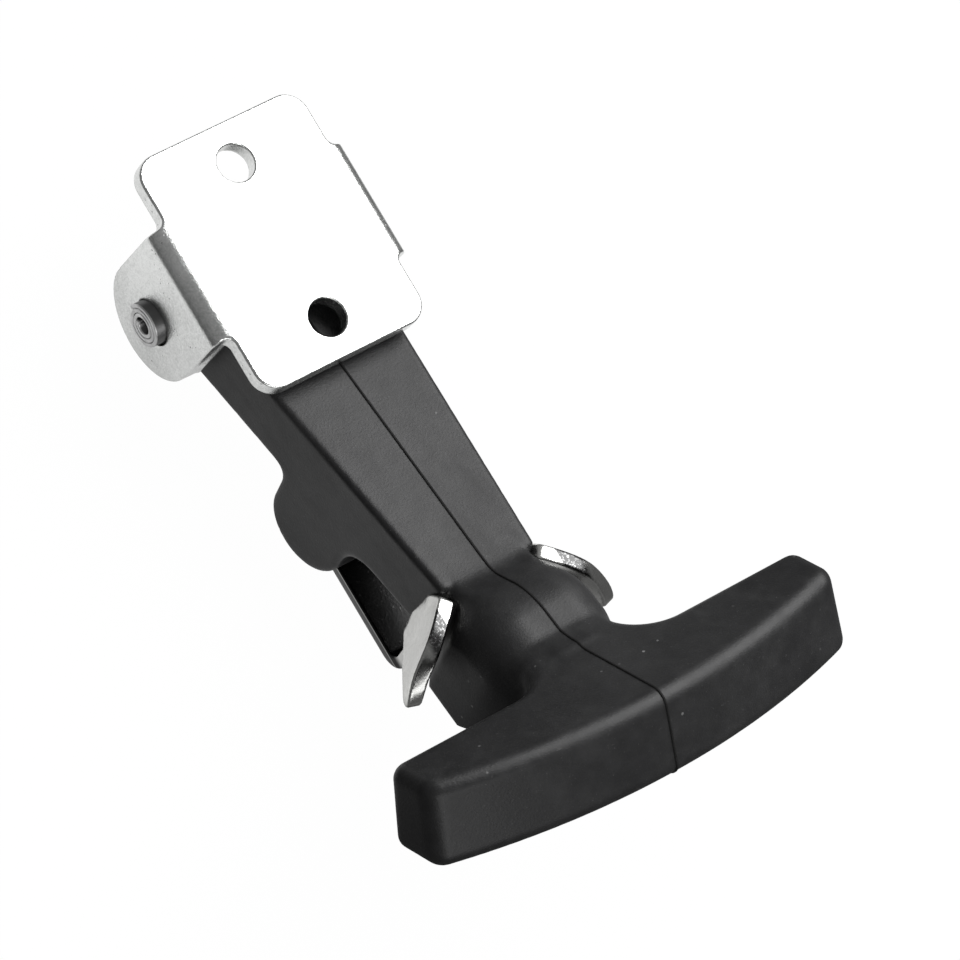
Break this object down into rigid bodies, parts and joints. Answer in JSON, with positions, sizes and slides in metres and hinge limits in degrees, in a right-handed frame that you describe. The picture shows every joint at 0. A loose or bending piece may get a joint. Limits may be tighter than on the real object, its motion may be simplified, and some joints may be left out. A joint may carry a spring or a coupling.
{
  "type": "rubber t draw latch",
  "caption": "Over-centre draw latch: a rubber T handle pinned in a folded steel bracket, hooked in a forked steel keeper that holds two panels together.",
  "frame": {"origin": "midway between the bracket's two holes, on its mounting face", "axes": "+Z out of the bracket's mounting face, +X along the pivot pin, the handle reaches out along -Y"},
  "size_m": [0.0826, 0.1259, 0.0617],
  "materials": {
    "zinc_plate": "bright zinc plate, fine grain",
    "pin_steel": "dull dark steel",
    "black_rubber": "satin moulded rubber",
    "keeper_steel": "bright zinc plate, smooth"
  },
  "bodies": {
    "bracket": {"mounting_bracket": "zinc_plate", "pivot_pin": "pin_steel"},
    "handle": {"t_handle": "black_rubber", "keeper": "keeper_steel"}
  },
  "joints": [
    {"name": "handle_pivot", "type": "hinge", "parent": "bracket", "child": "handle", "pos_m": [0, 0, -0.0159], "axis": [1, 0, 0], "range_deg": [-2.5, 180]}
  ]
}
